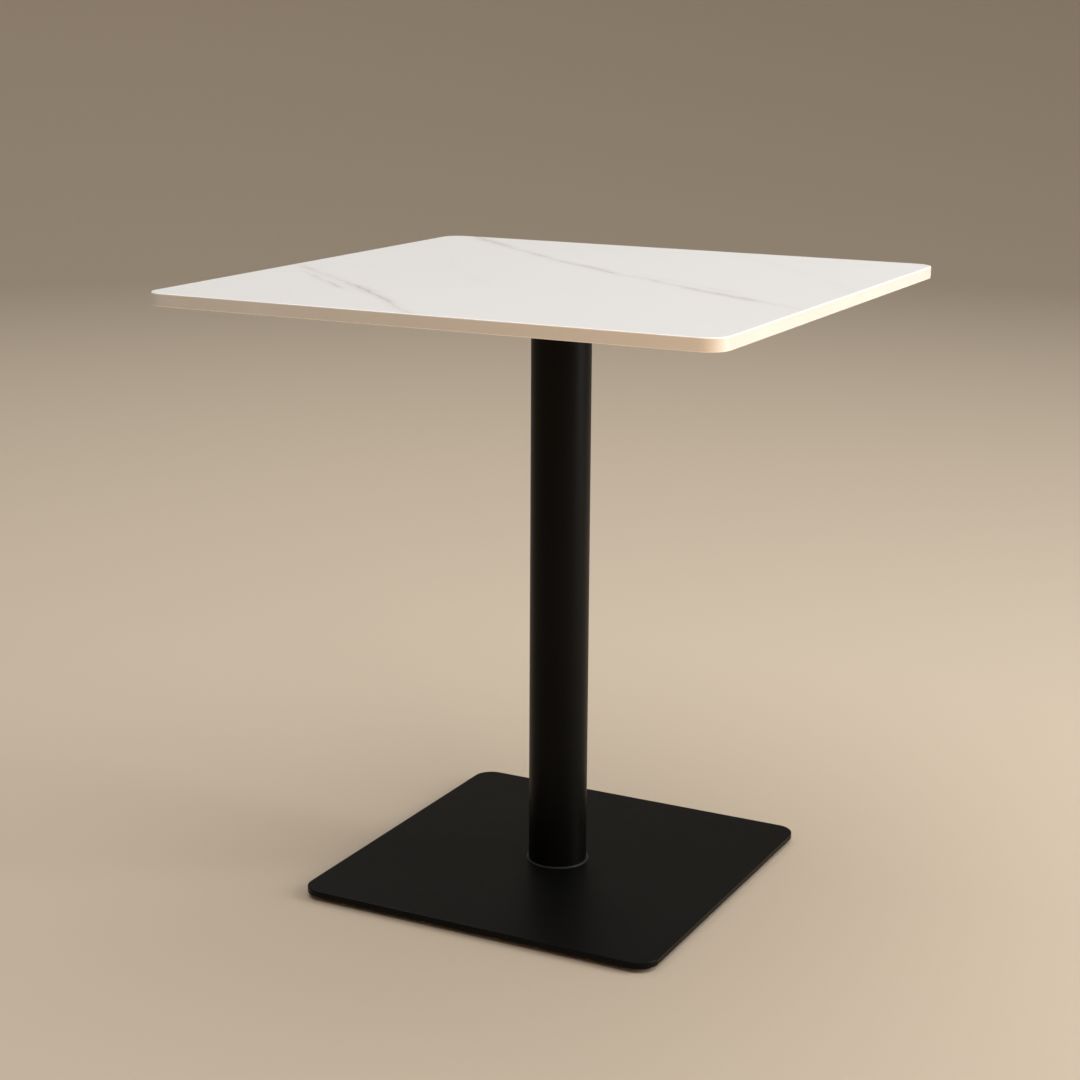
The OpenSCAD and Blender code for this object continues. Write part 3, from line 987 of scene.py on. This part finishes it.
def spring_washer(centre, inner, outer, low, high):
    """A rectangle (r, z) carried from gap / 2 to 2 pi - gap / 2, its ends closed by its middle."""
    r, z = hollow(outer, inner, low, high, WASHER_EASE, 3).T
    t = np.linspace(WASHER_GAP / 2, 2 * math.pi - WASHER_GAP / 2, FINE)[:, None]
    grid = np.stack([r * np.cos(t), r * np.sin(t), z + 0 * t], axis=-1)
    ends = np.repeat(grid[[0, -1], :-1].mean(axis=1, keepdims=True), grid.shape[1], axis=1)
    return np.concatenate([ends[:1], grid, ends[1:]]) + np.array([*centre, 0.0])


flat_z, spring_z = heights("spider_washers"), heights("spider_spring_washers")
flats = [flat_washer(place, *M6_WASHER, *flat_z) for place in BOLT_PLACES]
make_piece("arm_washers", flats, "table", "spider_washers", zinc)
springs = [spring_washer(place, *M6_SPRING, *spring_z) for place in BOLT_PLACES]
make_piece("arm_spring_washers", springs, "table", "spider_spring_washers",
           spring_steel)

rod_flat = flat_washer(AXIS, *M12_WASHER, *heights("tie_rod_washer"))
make_piece("rod_washer", [rod_flat], "table", "tie_rod_washer", zinc)
rod_spring = spring_washer(AXIS, *M12_SPRING, *heights("tie_rod_spring_washer"))
make_piece("rod_spring_washer", [rod_spring], "table", "tie_rod_spring_washer",
           spring_steel)

# %% [markdown]
# ## The tie rod and the inserts
# One long rod pulls the spider, the column and the plate together. It is threaded all along, over
# four hundred turns, so its helix has only a few points a turn. The inserts are brass sleeves with
# a coarse outer thread that bites into the board. A bump could draw both threads, but a real helix
# keeps its outline in the mesh itself.

# %% The tie rod and the inserts
ROD_COLUMNS = 20
INSERT_R, INSERT_PITCH, INSERT_DEPTH = 5.0 * MM, 2.5 * MM, 0.45
INSERT_BORE, INSERT_COLLAR = 3.05 * MM, 6.5 * MM
rod_low, rod_high = heights("tie_rod")
rod = lathe(round_rows([(0, rod_low)], ROD_COLUMNS),
            thread_rows(M12_R, M12_PITCH, rod_low, rod_high, ROD_COLUMNS),
            round_rows([(0, rod_high)], ROD_COLUMNS))
make_piece("threaded_rod", [rod], "table", "tie_rod", zinc)


def insert_nut(centre, low, high, collar):
    """A plain bore inside, a collar and a coarse thread outside."""
    outside = thread_rows(INSERT_R, INSERT_PITCH, low + collar, high, FINE, INSERT_DEPTH)
    root = outside[0, 0, 0]
    start = [(INSERT_BORE, high), (INSERT_BORE, low), (INSERT_COLLAR, low),
             (INSERT_COLLAR, low + collar), (root, low + collar)]
    return lathe(round_rows(start, FINE), outside, round_rows([(INSERT_BORE, high)], FINE),
                 centre=centre)


backing_low, backing_high = heights("backing_sheet")
insert_z = heights("insert_nuts")
inserts = [insert_nut(place, *insert_z, backing_high - backing_low) for place in BOLT_PLACES]
make_piece("brass_inserts", inserts, "table", "insert_nuts", brass)

# %% [markdown]
# ## The countersunk screws
# Four screws hold the spigot from below, with their heads flush in the plate. The head, its socket
# for a key and the thread could be three meshes, but one lathe closes them into a single skin.

# %% The countersunk screws
M8_PITCH = 1.25 * MM
M8_KEY = 5.0 * MM
SOCKET_DEPTH = 3.0 * MM
HEAD_EASE = 0.2 * MM


def countersunk_screw(centre, low, high):
    """A hexagon socket, a flat head, a 45 degree cone and a thread."""
    key = hex_radius(M8_KEY, FINE)
    floor = low + SOCKET_DEPTH
    socket = np.array([np.stack([key, np.full_like(key, z)], axis=-1) for z in (floor, low)])
    neck = low + SCREW_LAND + SCREW_HEAD_R - M8_R
    rim = [(SCREW_HEAD_R - HEAD_EASE, low), (SCREW_HEAD_R, low + HEAD_EASE),
           (SCREW_HEAD_R, low + SCREW_LAND), (M8_R, neck), (thread_root(M8_R, M8_PITCH), neck)]
    return lathe(round_rows([(0, floor)], FINE), socket, round_rows(rim, FINE),
                 thread_rows(M8_R, M8_PITCH, neck, high, FINE),
                 round_rows([(0, high)], FINE), centre=centre)


screws = [countersunk_screw(place, screw_low.z, screw_high.z) for place in SCREW_PLACES]
make_piece("countersunk_screws", screws, "table", "spigot_screws",
           black_oxide)

# %% [markdown]
# ## The levelling feet
# Each foot is a nylon pad that swivels on a steel stem. The pad's rim is fluted for the fingers,
# r = R - depth (1 - cos 30 t) / 2, which costs no extra shapes. The stem has a disc in the pad, a
# thin hexagon for a spanner and a thread up into the plate. Turning the stem lets the pad down or
# draws it up, so pad and stem ride on bodies of their own.

# %% The levelling feet
FLUTES = 30
FLUTE_DEPTH = 0.35 * MM
PAD_COLUMNS = 240
DISC_R, DISC_T, DISC_EASE = 6.0 * MM, 1.2 * MM, 0.15 * MM
NECK_R = 3.5 * MM
NECK_PLAY, SOCKET_PLAY = 0.6 * MM, 0.2 * MM
PAD_FLOOR, PAD_LIP = 1.0 * MM, 0.6 * MM
RIM_ZONE = 0.5 * MM
SPANNER_FLATS, SPANNER_LOW, SPANNER_HIGH = 13.0 * MM, 1.7 * MM, 0.3 * MM
# The pad's outer profile: how far in from its radius, and how far up from below or down from above
PAD_FOOT = [(1.2 * MM, 0.0), (0.35 * MM, 0.35 * MM), (0.0, 1.2 * MM)]
PAD_SHOULDER = [(0.0, 0.8 * MM), (0.25 * MM, 0.25 * MM), (0.9 * MM, 0.0)]


def foot_pad(centre, low, high, radius):
    """A disc with a fluted rim and a socket, whose lip closes over the stem's disc."""
    floor, lip = low + PAD_FLOOR, high - PAD_LIP
    socket, mouth = DISC_R + SOCKET_PLAY, NECK_R + NECK_PLAY
    profile = np.array(
        [(0, low)] + [(radius - d, low + up) for d, up in PAD_FOOT]
        + [(radius - d, high - down) for d, down in PAD_SHOULDER]
        + [(mouth, high), (mouth, lip), (socket, lip), (socket, floor), (0, floor)])
    rows = round_rows(profile, PAD_COLUMNS)
    flutes = FLUTE_DEPTH * (1 - np.cos(FLUTES * angles(PAD_COLUMNS))) / 2
    rows[profile[:, 0] > radius - RIM_ZONE, :, 0] -= flutes
    return lathe(rows, centre=centre)


def foot_stem(centre, low, high):
    """Disc, neck, hexagon and thread, from the floor up."""
    hex_low, hex_high = plate_low.z - SPANNER_LOW, plate_low.z - SPANNER_HIGH
    disc = [(0, low), (DISC_R - DISC_EASE, low), (DISC_R, low + DISC_EASE),
            (DISC_R, low + DISC_T), (NECK_R, low + DISC_T), (NECK_R, hex_low)]
    return lathe(round_rows(disc, FINE), hex_rows(SPANNER_FLATS, hex_low, hex_high, FINE),
                 round_rows([(thread_root(M8_R, M8_PITCH), hex_high)], FINE),
                 thread_rows(M8_R, M8_PITCH, hex_high, high, FINE),
                 round_rows([(0, high)], FINE), centre=centre)


for name in FEET:
    pad_low, pad_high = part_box(name + "_pad")
    centre = box_middle(name + "_pad")
    pad = foot_pad(centre, pad_low.z, pad_high.z, (pad_high.x - pad_low.x) / 2)
    make_piece(name + "_nylon_pad", [pad], name + "_foot", name + "_pad", nylon)
    stem = foot_stem(centre, *heights(name + "_stem"))
    make_piece(name + "_steel_stem", [stem], name + "_screw", name + "_stem", zinc)

# %% [markdown]
# ## The floor
# A studio floor curves up into its backdrop, so that no line shows between them. A flat plane
# would end in a horizon, so the floor is one more lathe: flat, then a quarter circle.

# %% The floor
FLOOR_COLOUR = (0.56, 0.465, 0.355)
FLOOR_ROUGHNESS = 0.75
FLOOR_SHINE = 0.25
FLOOR_R = 6.0
COVE_R = 3.0
COVE_ROWS, COVE_COLUMNS = 40, 128


def plain_floor():
    """A round cove: flat to FLOOR_R, then a quarter circle of COVE_R that ends upright."""
    bend = np.linspace(0, math.pi / 2, COVE_ROWS)
    rise = np.column_stack([FLOOR_R + COVE_R * np.sin(bend), COVE_R * (1 - np.cos(bend))])
    mesh = raw_mesh("floor", [lathe(round_rows(np.concatenate([[(0, 0)], rise]), COVE_COLUMNS))])
    close_mesh(mesh)
    shade(mesh)
    material = bpy.data.materials.new("floor")
    material.use_nodes = True
    shader = material.node_tree.nodes["Principled BSDF"]
    shader.inputs["Base Color"].default_value = (*FLOOR_COLOUR, 1.0)
    shader.inputs["Roughness"].default_value = FLOOR_ROUGHNESS
    shader.inputs["Specular IOR Level"].default_value = FLOOR_SHINE
    mesh.materials.append(material)
    return make_object("floor", mesh)


floor = plain_floor()
print("floor faces", len(floor.data.polygons))

# %% [markdown]
# ## The light
# A tall soft box stands to the right and draws the one soft streak on the black column, and a wide
# one overhead lights the top. A weak warm one at the height of the top keeps its shaded edge
# readable, a little lighter to the right. It has a narrow spread, so that it doesn't light the
# floor, and is kept out of reflections, so that the column shows one streak only. One sun lamp
# would be simpler, but its hard shadows don't suit a soft room.

# %% The light
TABLE_MIDDLE = (0.0, 0.0, 0.45)
FILL_SPREAD = math.radians(60)
WORLD_COLOUR = (0.95, 0.88, 0.78)
WORLD_STRENGTH = 0.16


def soft_box(name, place, aim, width, height, watts, colour):
    """A rectangular area light at place that faces aim. The camera doesn't see the lamp itself."""
    data = bpy.data.lights.new(name, "AREA")
    data.shape = "RECTANGLE"
    data.size = width
    data.size_y = height
    data.energy = watts
    data.color = colour
    lamp = make_object(name, data)
    lamp.location = place
    lamp.rotation_euler = (Vector(aim) - Vector(place)).to_track_quat("-Z", "Y").to_euler()
    lamp.visible_camera = False
    return lamp


soft_box("key_box", (2.9, 0.75, 1.5), TABLE_MIDDLE, 1.6, 2.4, 74.0, (0.98, 0.985, 1.0))
fill = soft_box("fill_box", (1.75, -1.35, 0.75), (0.5, -0.1, 0.76), 0.8, 0.4, 2.1, (1.0, 0.6, 0.3))
fill.visible_glossy = False
fill.data.spread = FILL_SPREAD
soft_box("ceiling", (0.0, 0.5, 5.0), TABLE_MIDDLE, 8.0, 8.0, 350.0, (0.97, 0.985, 1.0))

world = bpy.data.worlds.new("studio")
bpy.context.scene.world = world
world.use_nodes = True
background = world.node_tree.nodes["Background"]
background.inputs["Color"].default_value = (*WORLD_COLOUR, 1.0)
background.inputs["Strength"].default_value = WORLD_STRENGTH
bpy.context.scene.view_settings.view_transform = "Standard"
print("lights", len(bpy.data.lights))
